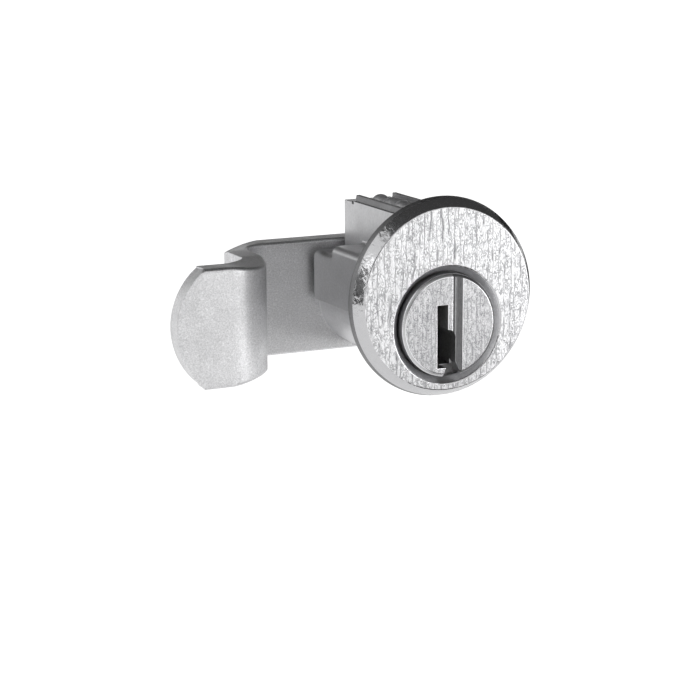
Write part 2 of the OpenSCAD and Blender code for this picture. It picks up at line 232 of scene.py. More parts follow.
class LockDetail(bpy.types.PropertyGroup):
    """Sizes of the softened edges, the recess, the bends and the thread"""

    head_edge: bpy.props.FloatProperty(
        name="Head edge", description="Width of the softened edges of the head and its recess",
        default=0.12 * MM, unit="LENGTH",
    )
    body_edge: bpy.props.FloatProperty(
        name="Body edge", description="Width of the softened edges of the body",
        default=0.08 * MM, unit="LENGTH",
    )
    tower_w: bpy.props.FloatProperty(
        name="Tower width", description="Width of the tower that holds the driver pins",
        default=5.8 * MM, unit="LENGTH",
    )
    recess_foot: bpy.props.FloatProperty(
        name="Recess foot", description="Radius of the foot of the recess round the plug",
        default=5.86 * MM, unit="LENGTH",
    )
    recess_flare: bpy.props.FloatProperty(
        name="Recess flare", description="Depth of the flared upper part of the recess wall",
        default=0.75 * MM, unit="LENGTH",
    )
    plug_edge: bpy.props.FloatProperty(
        name="Plug edge", description="Width of the softened edges of the plug",
        default=0.06 * MM, unit="LENGTH",
    )
    cam_roll: bpy.props.FloatProperty(
        name="Cam roll", description="Width of the edges of the strip that the shear has rolled over",
        default=0.42 * MM, unit="LENGTH",
    )
    cam_edge: bpy.props.FloatProperty(
        name="Cam edge", description="Width of the other softened edges of the strip",
        default=0.1 * MM, unit="LENGTH",
    )
    cam_neck: bpy.props.FloatProperty(
        name="Cam neck", description="How far the outside of each bend draws in at the strip's edges",
        default=0.6 * MM, unit="LENGTH",
    )
    cam_t: bpy.props.FloatProperty(
        name="Cam thickness", description="Thickness of the strip",
        default=2.7 * MM, unit="LENGTH",
    )
    cam_bend: bpy.props.FloatProperty(
        name="Cam bend", description="Inside radius of the strip's bends",
        default=3.2 * MM, unit="LENGTH",
    )
    cam_reach: bpy.props.FloatProperty(
        name="Cam reach", description="Distance from the plug's axis to the outside of the leg",
        default=18.3 * MM, unit="LENGTH",
    )
    washer_edge: bpy.props.FloatProperty(
        name="Washer edge", description="Width of the softened edges of the stop washer",
        default=0.06 * MM, unit="LENGTH",
    )
    bevel_inset: bpy.props.FloatProperty(
        name="Bevel inset", description="Width of the head's bevel, seen from the front",
        default=1.0 * MM, unit="LENGTH",
    )
    groove_near: bpy.props.FloatProperty(
        name="Groove, near side", description="Place of the near edge of the groove down the plug's face",
        default=0.4 * MM, unit="LENGTH",
    )
    groove_depth: bpy.props.FloatProperty(
        name="Groove depth", description="Depth of the groove down the plug's face",
        default=0.36 * MM, unit="LENGTH",
    )
    plug_r: bpy.props.FloatProperty(
        name="Plug radius", description="Radius of the plug's barrel",
        default=4.7 * MM, unit="LENGTH",
    )
    stud_r: bpy.props.FloatProperty(
        name="Stud radius", description="Outer radius of the threaded stud",
        default=3 * MM, unit="LENGTH",
    )
    stud_flat: bpy.props.FloatProperty(
        name="Stud flat", description="Distance from the plug's axis to each flat of the stud",
        default=2.3 * MM, unit="LENGTH",
    )
    thread_pitch: bpy.props.FloatProperty(
        name="Thread pitch", description="Distance between the turns of the thread",
        default=0.8 * MM, unit="LENGTH",
    )
    thread_depth: bpy.props.FloatProperty(
        name="Thread depth", description="Depth of the thread",
        default=0.42 * MM, unit="LENGTH",
    )


class LockStudio(bpy.types.PropertyGroup):
    """Floor, lamps and dark cards"""

    floor_drop: bpy.props.FloatProperty(
        name="Floor drop", description="Height of the lock's lowest point above the floor",
        default=70 * MM, unit="LENGTH",
    )
    floor_size: bpy.props.FloatProperty(
        name="Floor size", description="Width of the floor", default=8, unit="LENGTH",
    )
    key_radiance: bpy.props.FloatProperty(
        name="Key lamp", description="Brightness of the soft lamp at the left", default=1.5,
    )
    fill_radiance: bpy.props.FloatProperty(
        name="Fill lamp", description="Brightness of the soft lamp at the right", default=4.0,
    )
    dark_shade: bpy.props.FloatProperty(
        name="Dark cards", description="Brightness of the dark cards that the metal mirrors", default=0.02,
    )
    dim_shade: bpy.props.FloatProperty(
        name="Overhead cards", description="Brightness of the cards above the lock", default=0.12,
    )


SETTINGS = (
    ("lock_camera", LockCamera),
    ("lock_finish", LockFinish),
    ("lock_detail", LockDetail),
    ("lock_studio", LockStudio),
)


# Shader node helpers


def add_node(tree, kind, place, inputs=None, **settings):
    """A node at a place in the tree, with its settings and unlinked inputs set."""
    node = tree.nodes.new(kind)
    node.location = place
    for name, value in settings.items():
        setattr(node, name, value)
    for name, value in (inputs or {}).items():
        node.inputs[name].default_value = value
    return node


def maths(tree, operation, place, first, second=None, clamp=False):
    """A Math node; first and second are sockets or numbers. Gives its output socket."""
    node = add_node(tree, "ShaderNodeMath", place, operation=operation, use_clamp=clamp)
    for socket, value in zip(node.inputs, (first, second)):
        if isinstance(value, bpy.types.NodeSocket):
            tree.links.new(value, socket)
        elif value is not None:
            socket.default_value = value
    return node.outputs["Value"]


def new_group(name, inputs, outputs):
    """An empty shader node group with its sockets. Gives the tree and its input and output nodes."""
    tree = bpy.data.node_groups.new(name, "ShaderNodeTree")
    for label, kind, value in inputs:
        socket = tree.interface.new_socket(label, in_out="INPUT", socket_type=kind)
        if value is not None:
            socket.default_value = value
    for label, kind in outputs:
        tree.interface.new_socket(label, in_out="OUTPUT", socket_type=kind)
    source = add_node(tree, "NodeGroupInput", (-1200, 0))
    result = add_node(tree, "NodeGroupOutput", (900, 0))
    return tree, source, result


def stretched(tree, source, place):
    """The group's Vector counted in pattern cells, drawn out along the lock's height."""
    x, y = place
    across = maths(tree, "DIVIDE", (x, y), 1.0, source.outputs["Size"])
    along = maths(tree, "DIVIDE", (x, y - 160), across, source.outputs["Stretch"])
    cells = add_node(tree, "ShaderNodeCombineXYZ", (x + 180, y))
    tree.links.new(across, cells.inputs["X"])
    tree.links.new(across, cells.inputs["Y"])
    tree.links.new(along, cells.inputs["Z"])
    product = add_node(tree, "ShaderNodeVectorMath", (x + 360, y), operation="MULTIPLY")
    tree.links.new(source.outputs["Vector"], product.inputs[0])
    tree.links.new(cells.outputs["Vector"], product.inputs[1])
    return product.outputs["Vector"]


def noise(tree, vector, place, scale, detail=2.0, roughness=0.5, distortion=0.0):
    """A Noise Texture node on a vector."""
    node = add_node(
        tree, "ShaderNodeTexNoise", place,
        {"Scale": scale, "Detail": detail, "Roughness": roughness, "Distortion": distortion},
    )
    tree.links.new(vector, node.inputs["Vector"])
    return node


def remap(tree, value, place, low, high):
    """A value stretched so that low becomes 0 and high becomes 1, clamped."""
    node = add_node(tree, "ShaderNodeMapRange", place, {"From Min": low, "From Max": high}, clamp=True)
    tree.links.new(value, node.inputs["Value"])
    return node.outputs["Result"]


def level_lines(tree, value, place, width):
    """Thin soft lines where a noise crosses its middle value."""
    x, y = place
    offset = maths(tree, "SUBTRACT", (x, y), value, 0.5)
    away = maths(tree, "ABSOLUTE", (x + 160, y), offset)
    near = maths(tree, "DIVIDE", (x + 320, y), away, width, clamp=True)
    return maths(tree, "SUBTRACT", (x + 480, y), 1.0, near)


def upright_cells(tree, point, size, place, stretch):
    """A point on the face counted in pattern cells, which are taller than they are wide."""
    x, y = place
    across = maths(tree, "DIVIDE", (x, y), point.outputs["X"], size)
    tall = maths(tree, "MULTIPLY", (x, y - 160), size, stretch)
    up = maths(tree, "DIVIDE", (x + 160, y - 160), point.outputs["Z"], tall)
    cells = add_node(tree, "ShaderNodeCombineXYZ", (x + 320, y))
    tree.links.new(across, cells.inputs["X"])
    tree.links.new(up, cells.inputs["Y"])
    return cells.outputs["Vector"], across


def brush_group():
    """Upright brush lines that wander and break, with short curled marks between them."""
    tree, source, result = new_group(
        "Brush lines",
        [
            ("Vector", "NodeSocketVector", None),
            ("Spacing", "NodeSocketFloat", 0.7 * MM),
            ("Curl", "NodeSocketFloat", 0.3 * MM),
        ],
        [("Lines", "NodeSocketFloat"), ("Curls", "NodeSocketFloat"), ("Patches", "NodeSocketFloat")],
    )
    wander_share = 2.2
    half_cell = 0.5
    line_width = 0.2
    point = add_node(tree, "ShaderNodeSeparateXYZ", (-1000, 200))
    tree.links.new(source.outputs["Vector"], point.inputs["Vector"])
    tall, across = upright_cells(tree, point, source.outputs["Spacing"], (-820, 500), stretch=5.0)
    drift = noise(tree, tall, (-300, 600), scale=0.7)
    wander = maths(tree, "MULTIPLY", (-120, 600), drift.outputs["Fac"], wander_share)
    wave = maths(tree, "PINGPONG", (60, 600), maths(tree, "ADD", (-30, 500), across, wander), half_cell)
    near = maths(tree, "DIVIDE", (220, 600), wave, line_width, clamp=True)
    lines = maths(tree, "SUBTRACT", (380, 600), 1.0, near)
    breaks = noise(tree, tall, (-300, 300), scale=2.1)
    kept = remap(tree, breaks.outputs["Fac"], (-120, 300), low=0.38, high=0.52)
    tree.links.new(maths(tree, "MULTIPLY", (560, 500), lines, kept), result.inputs["Lines"])
    small, _ = upright_cells(tree, point, source.outputs["Curl"], (-820, 0), stretch=1.5)
    curl_noise = noise(tree, small, (-300, 0), scale=1.0, detail=1.5, distortion=0.4)
    curls = level_lines(tree, curl_noise.outputs["Fac"], (-120, 0), width=0.11)
    gaps = noise(tree, small, (-300, -300), scale=0.5)
    shown = remap(tree, gaps.outputs["Fac"], (-120, -300), low=0.34, high=0.52)
    tree.links.new(maths(tree, "MULTIPLY", (560, 0), curls, shown), result.inputs["Curls"])
    patches = noise(tree, tall, (-300, -600), scale=0.5)
    worn = remap(tree, patches.outputs["Fac"], (-120, -600), low=0.35, high=0.65)
    tree.links.new(worn, result.inputs["Patches"])
    return tree


def grain_group():
    """Fine grains of a matte plated surface, with a few bright ones."""
    tree, source, result = new_group(
        "Plating grain",
        [
            ("Vector", "NodeSocketVector", None),
            ("Size", "NodeSocketFloat", 0.2 * MM),
            ("Stretch", "NodeSocketFloat", 1.0),
        ],
        [("Grain", "NodeSocketFloat"), ("Sparks", "NodeSocketFloat"), ("Clouds", "NodeSocketFloat")],
    )
    cells = stretched(tree, source, (-1000, 200))
    layers = (
        ("Grain", 300, {"scale": 1.0, "detail": 3.0, "roughness": 0.6}, {"low": 0.3, "high": 0.7}),
        ("Sparks", 0, {"scale": 0.7, "detail": 1.0, "roughness": 0.4}, {"low": 0.62, "high": 0.72}),
        ("Clouds", -300, {"scale": 0.06, "detail": 3.0, "roughness": 0.6}, {"low": 0.3, "high": 0.7}),
    )
    for label, row, pattern, limits in layers:
        layer = noise(tree, cells, (-400, row), **pattern)
        mask = remap(tree, layer.outputs["Fac"], (-60, row), **limits)
        tree.links.new(mask, result.inputs[label])
    return tree


GROUPS = {}


def shared_group(name, build):
    """A node group that is built once and placed in every material that uses it."""
    if name not in GROUPS:
        GROUPS[name] = build()
    return GROUPS[name]


def place_group(tree, group, place, coordinates, values):
    """A group in a material, on the piece's own Object coordinates."""
    node = add_node(tree, "ShaderNodeGroup", place, node_tree=group)
    for name, value in values.items():
        node.inputs[name].default_value = value
    tree.links.new(coordinates, node.inputs["Vector"])
    return node


def new_metal(name, roughness):
    """A metal with an empty Principled shader. Gives the material, its tree, shader and coordinates."""
    material = bpy.data.materials.new(name)
    material.use_nodes = True
    tree = material.node_tree
    shader = tree.nodes["Principled BSDF"]
    shader.inputs["Metallic"].default_value = 1.0
    shader.inputs["Roughness"].default_value = roughness
    coordinates = add_node(tree, "ShaderNodeTexCoord", (-1400, 0))
    return material, tree, shader, coordinates.outputs["Object"]


def blend_colours(tree, factor, place, low, high):
    """A colour between two, by a factor socket. Low and high are colours or colour sockets."""
    node = add_node(tree, "ShaderNodeMix", place, data_type="RGBA")
    tree.links.new(factor, node.inputs["Factor"])
    for socket, value in ((node.inputs[6], low), (node.inputs[7], high)):
        if isinstance(value, bpy.types.NodeSocket):
            tree.links.new(value, socket)
        else:
            socket.default_value = (*value[:3], 1.0)
    return node.outputs[2]


def scaled_colour(colour, share):
    """A colour made lighter or darker."""
    return tuple(min(1.0, channel * share) for channel in colour[:3])


def relief(tree, shader, height, distance, strength):
    """A Bump node on the shader's normal."""
    bump = add_node(tree, "ShaderNodeBump", (-250, -500), {"Strength": strength, "Distance": distance})
    tree.links.new(height, bump.inputs["Height"])
    tree.links.new(bump.outputs["Normal"], shader.inputs["Normal"])


def vary_roughness(tree, shader, value, low, high):
    """Roughness between two values, by a socket."""
    node = add_node(tree, "ShaderNodeMapRange", (-250, -200), {"To Min": low, "To Max": high})
    tree.links.new(value, node.inputs["Value"])
    tree.links.new(node.outputs["Result"], shader.inputs["Roughness"])


# Finishes


def brushed_metal(name, light, dark, spacing, curl, shares, depth):
    """Bright metal with brush lines, curled marks and fine specks; shares say how strong each is."""
    material, tree, shader, coordinates = new_metal(name, 0.35)
    brush = place_group(
        tree, shared_group("brush", brush_group), (-1150, 200), coordinates,
        {"Spacing": spacing, "Curl": curl},
    )
    grain = place_group(
        tree, shared_group("grain", grain_group), (-1150, -150), coordinates,
        {"Size": curl / 3, "Stretch": 1.2},
    )
    line_share, curl_share, speck_share = shares
    lines = maths(tree, "MULTIPLY", (-950, 260), brush.outputs["Lines"], line_share)
    curls = maths(tree, "MULTIPLY", (-950, 60), brush.outputs["Curls"], curl_share)
    marks = maths(tree, "MAXIMUM", (-800, 160), lines, curls)
    specks = maths(tree, "MULTIPLY", (-950, -150), grain.outputs["Grain"], speck_share)
    patch_share = 0.1
    worn = maths(tree, "MULTIPLY", (-950, -300), brush.outputs["Patches"], patch_share)
    shade = maths(tree, "ADD", (-640, 100), maths(tree, "ADD", (-800, 0), marks, specks), worn, clamp=True)
    colour = blend_colours(tree, shade, (-450, 200), light, dark)
    tree.links.new(colour, shader.inputs["Base Color"])
    vary_roughness(tree, shader, shade, low=0.3, high=0.5)
    height = maths(tree, "SUBTRACT", (-450, -500), 1.0, shade)
    relief(tree, shader, height, depth, strength=0.6)
    return material


def plated_metal(name, colour, roughness, depth, contrast=0.12, coarseness=1.0):
    """Plated or cast metal: fine grain, soft clouds and a few bright grains."""
    material, tree, shader, coordinates = new_metal(name, roughness)
    grain_size = bpy.context.scene.lock_finish.grain * coarseness
    grain = place_group(
        tree, shared_group("grain", grain_group), (-1150, 0), coordinates,
        {"Size": grain_size, "Stretch": 1.0},
    )
    speckle = blend_colours(
        tree, grain.outputs["Grain"], (-800, 200),
        scaled_colour(colour, 1 - contrast), scaled_colour(colour, 1 + contrast / 2),
    )
    clouded = blend_colours(
        tree, maths(tree, "MULTIPLY", (-800, 0), grain.outputs["Clouds"], contrast), (-600, 200),
        speckle, scaled_colour(colour, 0.7),
    )
    sparked = blend_colours(
        tree, maths(tree, "MULTIPLY", (-600, 0), grain.outputs["Sparks"], contrast * 1.5, clamp=True),
        (-400, 200), clouded, scaled_colour(colour, 1.3),
    )
    tree.links.new(sparked, shader.inputs["Base Color"])
    vary_roughness(tree, shader, grain.outputs["Clouds"], low=roughness * 0.85, high=roughness * 1.15)
    relief(tree, shader, grain.outputs["Grain"], depth, strength=0.5)
    return material


def lumpy_metal(name, colour, roughness, lump_size, depth):
    """Bright plating over a casting that isn't quite even."""
    material, tree, shader, coordinates = new_metal(name, roughness)
    lumps = noise(tree, coordinates, (-1150, 0), scale=1 / lump_size, detail=1.5, distortion=0.4)
    clouds = noise(tree, coordinates, (-1150, -300), scale=0.2 / lump_size)
    mottled = blend_colours(
        tree, lumps.outputs["Fac"], (-600, 200), scaled_colour(colour, 0.95), scaled_colour(colour, 1.05),
    )
    tree.links.new(mottled, shader.inputs["Base Color"])
    vary_roughness(tree, shader, clouds.outputs["Fac"], low=roughness * 0.7, high=roughness * 1.4)
    relief(tree, shader, lumps.outputs["Fac"], depth, strength=1.0)
    return material


# Modelling helpers


def only(piece):
    """Leaves one object selected and active."""
    bpy.ops.object.select_all(action="DESELECT")
    piece.select_set(True)
    bpy.context.view_layer.objects.active = piece


def pick(piece, faces=None, edges=None):
    """In edit mode, selects the faces or edges for which a test holds, and nothing else."""
    bpy.ops.mesh.select_mode(type="FACE" if faces else "EDGE")
    bpy.ops.mesh.select_all(action="DESELECT")
    shape = bmesh.from_edit_mesh(piece.data)
    for part in shape.faces if faces else shape.edges:
        if (faces or edges)(part):
            part.select_set(True)
    bmesh.update_edit_mesh(piece.data)


def middle(edge):
    """The middle of an edge."""
    return (edge.verts[0].co + edge.verts[1].co) / 2


def is_sharp(edge, angle=math.radians(25)):
    """Whether two faces meet at a clear angle along an edge."""
    return len(edge.link_faces) == 2 and edge.calc_face_angle() > angle


def skin_of(node, name, materials):
    """A merged copy of a solid's mesh, with flat areas joined, as a piece of its own."""
    piece = bpy.data.objects.new(name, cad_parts[node].data.copy())
    bpy.context.scene.collection.objects.link(piece)
    piece.data.materials.clear()
    for material in materials:
        piece.data.materials.append(material)
    only(piece)
    bpy.ops.mesh.customdata_custom_splitnormals_clear()
    bpy.ops.object.mode_set(mode="EDIT")
    bpy.ops.mesh.select_all(action="SELECT")
    bpy.ops.mesh.remove_doubles(threshold=CUT_TOUCH)
    bpy.ops.mesh.dissolve_limited(angle_limit=FLAT_ANGLE)
    bpy.ops.object.mode_set(mode="OBJECT")
    return piece


def slot_of(piece, material):
    """Number of the slot that holds one of the piece's materials."""
    return piece.data.materials.find(material.name)


def soften(piece, width, test, material=None, steps=3, shortest=3.0):
    """Rounds the sharp edges for which a test holds, if they are long enough for the width."""
    only(piece)
    bpy.ops.object.mode_set(mode="EDIT")
    pick(
        piece,
        edges=lambda edge: is_sharp(edge) and edge.calc_length() > shortest * width and test(edge),
    )
    bpy.ops.mesh.bevel(
        offset=width, offset_type="OFFSET", segments=steps, profile=0.5, affect="EDGES",
        clamp_overlap=False, material=slot_of(piece, material) if material else 0,
    )
    bpy.ops.mesh.select_all(action="SELECT")
    bpy.ops.mesh.remove_doubles(threshold=2 * CUT_TOUCH)
    bpy.ops.object.mode_set(mode="OBJECT")


def faces_front(normal):
    """Whether a face looks straight to the front."""
    return normal.y < -0.99


def paint(piece, material, test):
    """Gives a material to the faces for which a test of middle and normal holds."""
    index = slot_of(piece, material)
    for face in piece.data.polygons:
        if test(face.center, face.normal):
            face.material_index = index


def smooth(piece, angle=math.radians(35)):
    """Smooth shading that keeps flat faces flat and sharp edges sharp."""
    only(piece)
    bpy.ops.object.shade_smooth_by_angle(angle=angle)
    weights = piece.modifiers.new("Weighted normals", "WEIGHTED_NORMAL")
    weights.keep_sharp = True
    bpy.ops.object.modifier_apply(modifier=weights.name)


def seat(piece, body, replaces=None):
    """Puts a finished piece on its body and hides the solid that it stands for."""
    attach(piece, body)
    if replaces:
        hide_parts(replaces)


def radius(point, rise=0.0):
    """Distance of a point from the plug's axis, or from a line above it."""
    return math.hypot(point.x, point.z - rise)


# Operators


class LOCK_OT_camera(bpy.types.Operator):
    """Sets the camera at the viewing angle"""

    bl_idname = "lock.camera"
    bl_label = "Camera"

    def execute(self, context):
        view = context.scene.lock_camera
        back = Vector((
            math.sin(view.azimuth) * math.cos(view.elevation),
            -math.cos(view.azimuth) * math.cos(view.elevation),
            math.sin(view.elevation),
        ))
        bpy.ops.object.camera_add(location=Vector(view.target) + back * view.distance)
        camera = context.object
        camera.name = "camera"
        turn = back.to_track_quat("Z", "Y") @ Quaternion((0, 0, 1), view.roll)
        camera.rotation_euler = turn.to_euler()
        camera.data.sensor_width = 36.0
        camera.data.lens = view.lens
        camera.data.clip_start = 10 * MM
        camera.data.clip_end = 20.0
        context.scene.camera = camera
        return {"FINISHED"}


def seen_directly(tree, place):
    """1 for rays that show the background: from the camera, in metal and through glass."""
    rays = add_node(tree, "ShaderNodeLightPath", place)
    x, y = place
    camera, mirrored = rays.outputs["Is Camera Ray"], rays.outputs["Is Glossy Ray"]
    shown = maths(tree, "MAXIMUM", (x + 200, y), camera, mirrored)
    return maths(tree, "MAXIMUM", (x + 380, y), shown, rays.outputs["Is Transmission Ray"])


def studio_world():
    """White where it shows, and softer where it lights."""
    world = bpy.data.worlds.new("studio")
    world.use_nodes = True
    tree = world.node_tree
    tree.nodes.clear()
    shown = seen_directly(tree, (-900, 0))
    level = add_node(tree, "ShaderNodeMapRange", (-300, 0), {"To Min": WORLD_LIGHT, "To Max": 1.0})
    tree.links.new(shown, level.inputs["Value"])
    light = add_node(tree, "ShaderNodeBackground", (0, 0), {"Color": (1, 1, 1, 1)})
    tree.links.new(level.outputs["Result"], light.inputs["Strength"])
    output = add_node(tree, "ShaderNodeOutputWorld", (200, 0))
    tree.links.new(light.outputs["Background"], output.inputs["Surface"])
    return world


def matte_material(name, shade):
    """Even matte grey."""
    material = bpy.data.materials.new(name)
    material.use_nodes = True
    shader = material.node_tree.nodes["Principled BSDF"]
    shader.inputs["Base Color"].default_value = (shade, shade, shade, 1)
    shader.inputs["Roughness"].default_value = 1.0
    shader.inputs["Specular IOR Level"].default_value = 0.0
    return material


def floor_material():
    """Pale floor that looks white and keeps a soft shadow."""
    material = matte_material("pale floor", FLOOR_SHADE)
    tree = material.node_tree
    shader = tree.nodes["Principled BSDF"]
    shader.inputs["Emission Color"].default_value = (1, 1, 1, 1)
    rays = add_node(tree, "ShaderNodeLightPath", (-900, -200))
    mirrored = maths(
        tree, "MAXIMUM", (-700, -200), rays.outputs["Is Glossy Ray"], rays.outputs["Is Transmission Ray"],
    )
    glow = add_node(tree, "ShaderNodeMix", (-500, -200), {"A": 0.0, "B": FLOOR_IN_METAL}, data_type="FLOAT")
    tree.links.new(mirrored, glow.inputs["Factor"])
    shown = add_node(tree, "ShaderNodeMix", (-300, -200), {"B": FLOOR_IN_VIEW}, data_type="FLOAT")
    tree.links.new(rays.outputs["Is Camera Ray"], shown.inputs["Factor"])
    tree.links.new(glow.outputs["Result"], shown.inputs["A"])
    tree.links.new(shown.outputs["Result"], shader.inputs["Emission Strength"])
    return material


def add_lamp(name, location, width, height, radiance):
    """A soft rectangular lamp of a given brightness, which faces the lock and only lights."""
    turn = Vector(location).to_track_quat("Z", "Y").to_euler()
    bpy.ops.object.light_add(type="AREA", location=location, rotation=turn)
    lamp = bpy.context.object
    lamp.name = name
    lamp.data.shape = "RECTANGLE"
    lamp.data.size = width
    lamp.data.size_y = height
    lamp.data.energy = radiance * math.pi * width * height
    lamp.visible_camera = False


def add_card(name, spans, material):
    """A card over three spans, which metal mirrors and which neither shows nor casts a shadow."""
    low, high = (Vector(corner) for corner in zip(*spans))
    thin = min(range(3), key=lambda axis: high[axis] - low[axis])
    turns = ((0, math.pi / 2, 0), (math.pi / 2, 0, 0), (0, 0, 0))
    bpy.ops.mesh.primitive_plane_add(size=1, rotation=turns[thin])
    card = bpy.context.object
    card.name = name
    bpy.ops.object.transform_apply(location=False, rotation=True, scale=False)
    card.scale = [max(high[axis] - low[axis], MM) for axis in range(3)]
    card.location = (low + high) / 2
    bpy.ops.object.transform_apply(location=True, rotation=True, scale=True)
    card.data.materials.append(material)
    card.visible_camera = False
    card.visible_diffuse = False
    card.visible_shadow = False


class LOCK_OT_studio(bpy.types.Operator):
    """Sets up the floor, the white surroundings, the lamps and the dark cards"""

    bl_idname = "lock.studio"
    bl_label = "Studio"

    def execute(self, context):
        studio = context.scene.lock_studio
        context.scene.view_settings.view_transform = "Standard"
        context.scene.world = studio_world()
        floor_z = CAD_BOX[0].z - studio.floor_drop
        bpy.ops.mesh.primitive_plane_add(size=studio.floor_size, location=(0, 0, floor_z))
        floor = context.object
        floor.name = "floor"
        bpy.ops.object.transform_apply(location=True, rotation=True, scale=True)
        floor.data.materials.append(floor_material())
        add_lamp("key_lamp", *KEY_LAMP, studio.key_radiance)
        add_lamp("fill_lamp", *FILL_LAMP, studio.fill_radiance)
        sets = (
            (DIM_CARDS, matte_material("dim card", studio.dim_shade)),
            (DARK_CARDS, matte_material("dark card", studio.dark_shade)),
        )
        for cards, material in sets:
            for name, spans in cards.items():
                add_card(name, spans, material)
        return {"FINISHED"}


def flare_recess(piece, top_r, foot_r, flare_depth):
    """Draws the lower part of the recess wall inwards, so that its upper part flares to the front."""
    waist_y = FACE_Y + flare_depth
    only(piece)
    bpy.ops.object.mode_set(mode="EDIT")

    def on_wall(face):
        ends = [vertex.co for vertex in face.verts]
        return all(end.y < 0 and abs(radius(end) - top_r) < SEAM_TOUCH for end in ends)

    def below_waist(edge):
        ends = [vertex.co for vertex in edge.verts]
        low = all(waist_y - SEAM_TOUCH < end.y < 0 for end in ends)
        return low and all(abs(radius(end) - top_r) < SEAM_TOUCH for end in ends)

    pick(piece, faces=on_wall)
    bpy.ops.mesh.bisect(plane_co=(0, waist_y, 0), plane_no=(0, 1, 0), threshold=CUT_TOUCH)
    pick(piece, edges=below_waist)
    share = foot_r / top_r
    bpy.ops.transform.resize(value=(share, 1, share), center_override=(0, 0, 0))
    bpy.ops.object.mode_set(mode="OBJECT")


class LOCK_OT_body(bpy.types.Operator):
    """Finishes the cast body: brushed face, plated bevel, flared recess and dull casting"""

    bl_idname = "lock.body"
    bl_label = "Body"

    def execute(self, context):
        finish = context.scene.lock_finish
        detail = context.scene.lock_detail
        casting = plated_metal(
            "cast zinc", finish.casting, roughness=0.38, depth=0.006 * MM, contrast=0.1, coarseness=1.6,
        )
        face = brushed_metal(
            "brushed head face", finish.face_light, finish.face_dark, finish.face_spacing, finish.face_curl,
            shares=(0.7, 0.56, 0.25), depth=0.03 * MM,
        )
        bevel = lumpy_metal(
            "plated bevel", finish.zinc, roughness=0.2, lump_size=0.65 * MM, depth=0.07 * MM,
        )
        # Recess floor: a third of the keyway's tone, painted shade for the dark gap round the plug
        recess = plated_metal(
            "recess floor", scaled_colour(finish.grease_and_floor_shade, 0.3),
            roughness=0.5, depth=0.004 * MM, contrast=0.2,
        )
        rim = plated_metal(
            "head rim", scaled_colour(finish.casting, 0.5),
            roughness=0.5, depth=0.006 * MM, coarseness=1.6,
        )
        # The ribs above the tower get a darker copy of the casting: painted shade on the ribs
        shaded = plated_metal(
            "staked rib", scaled_colour(finish.casting, 0.55), roughness=0.6, depth=0.006 * MM,
        )
        wall = plated_metal("recess wall", finish.zinc, roughness=0.35, depth=0.004 * MM)
        body = skin_of("lock_body", "lock_body_skin", [casting, face, bevel, recess, rim, shaded, wall])
        face_r = HEAD_R - detail.bevel_inset
        recess_r = PLUG_FACE_R + RECESS_GAP
        tower_half = detail.tower_w / 2

        def on_head(edge):
            return middle(edge).y < -SEAM_TOUCH and radius(middle(edge)) > recess_r - RIM_MARGIN

        def outside(edge):
            point = middle(edge)
            behind = point.y > SEAM_TOUCH
            in_bore = radius(point) < detail.plug_r + BORE_MARGIN
            in_chamber = abs(point.x) < CHAMBER_HALF
            return behind and not in_bore and not in_chamber

        def on_face(point, normal):
            return faces_front(normal) and point.y < FACE_Y + SEAM_TOUCH

        def on_bevel(point, normal):
            return point.y < -SEAM_TOUCH and radius(point, HEAD_RISE) > face_r - SEAM_TOUCH

        def on_rim(point, normal):
            steep = normal.y > -0.3
            return steep and point.y < -SEAM_TOUCH and radius(point, HEAD_RISE) > face_r

        def on_wall(point, normal):
            return FACE_Y + detail.head_edge < point.y < 0 and radius(point) < recess_r

        def on_floor(point, normal):
            return faces_front(normal) and FACE_Y / 2 < point.y < 0 and radius(point) < recess_r

        def on_rib(point, normal):
            beside = 0 < point.y < COVER_HIGH.y and abs(point.x) < tower_half - SEAM_TOUCH
            return beside and point.z > COVER_LOW.z + SEAM_TOUCH

        flare_recess(body, recess_r, detail.recess_foot, detail.recess_flare)
        soften(body, detail.head_edge, on_head, bevel)
        soften(body, detail.body_edge, outside)
        paint(body, face, on_face)
        paint(body, bevel, on_bevel)
        paint(body, rim, on_rim)
        paint(body, wall, on_wall)
        paint(body, recess, on_floor)
        paint(body, shaded, on_rib)
        smooth(body)
        seat(body, "body", "lock_body")
        return {"FINISHED"}


def turn_down_stud(plug, root_r, stud_r):
    """Turns the round sides of the stud down to the root of its thread; its flats stay."""
    for vertex in plug.data.vertices:
        point = vertex.co
        if point.y > STUD_START_Y and root_r < radius(point) < stud_r + SEAM_TOUCH:
            point.x = math.copysign(math.sqrt(root_r ** 2 - min(abs(point.z), root_r) ** 2), point.x)


